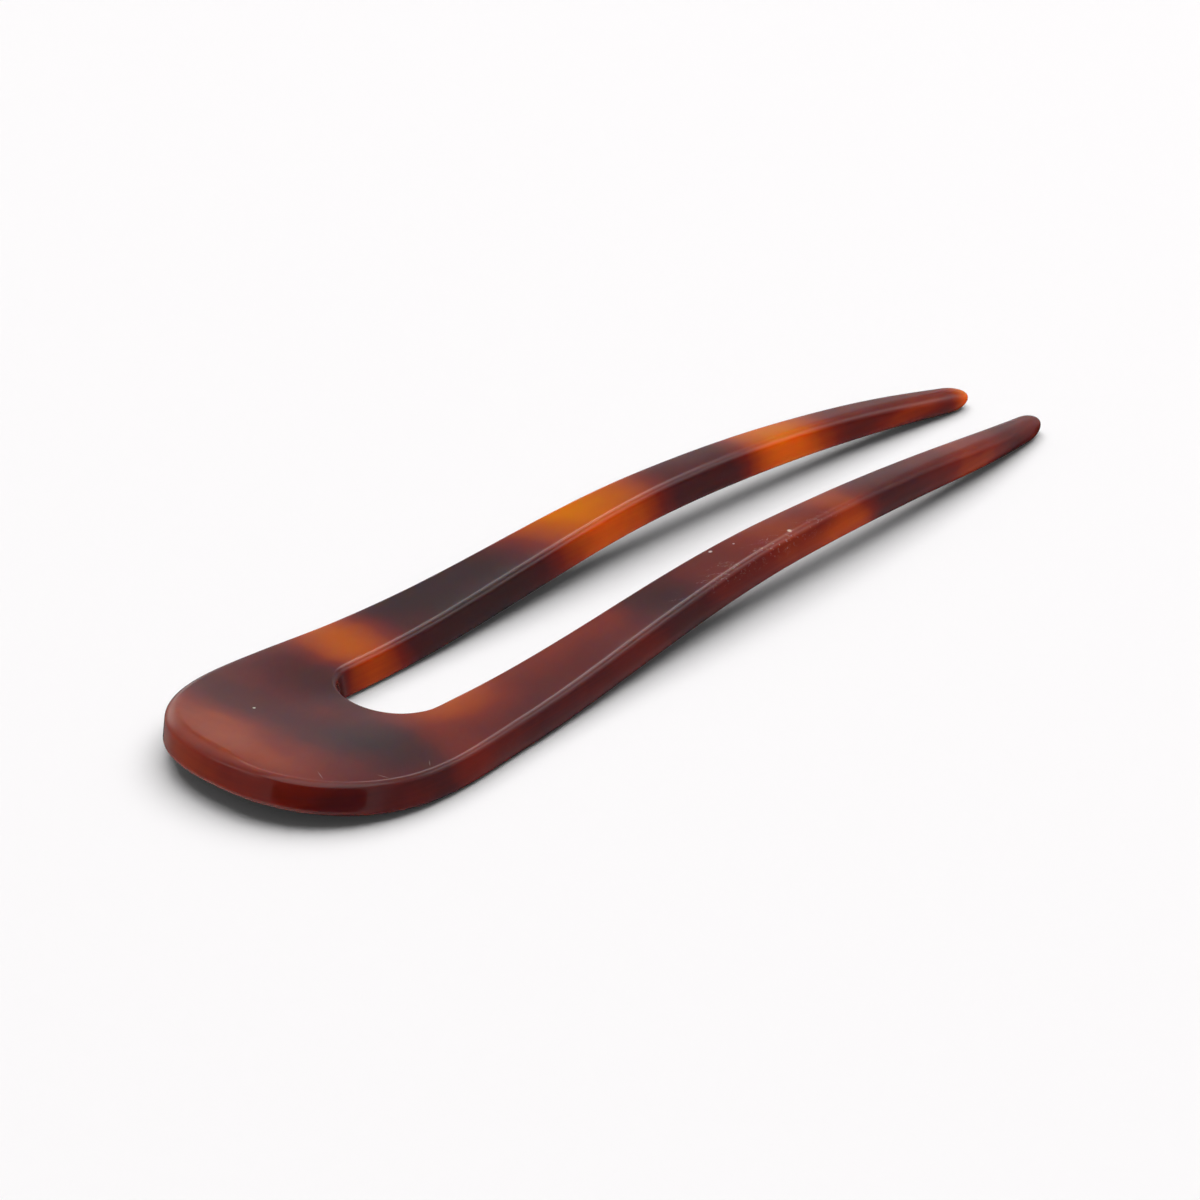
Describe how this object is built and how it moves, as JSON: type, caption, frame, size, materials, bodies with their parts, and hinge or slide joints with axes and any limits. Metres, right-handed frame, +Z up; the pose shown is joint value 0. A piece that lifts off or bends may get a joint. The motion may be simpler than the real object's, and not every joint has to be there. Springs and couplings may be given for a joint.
{
  "type": "french hair pin",
  "caption": "One-piece U-shaped pin with a broad rounded head, a long open slot and two tapering, gently waved prongs that hold a twist or bun of hair.",
  "frame": {"origin": "middle of the pin on the surface that it lies on, under the centre of its bounding box", "axes": "+Y from the head's end towards the prong tips, +X across the pin, +Z up through the sheet"},
  "size_m": [0.0296, 0.1152, 0.0067],
  "materials": {
    "tortoiseshell_acetate": "polished acetate, mottled amber, red-brown and near-black"
  },
  "bodies": {
    "root": {"hair_pin": "tortoiseshell_acetate"}
  },
  "joints": []
}
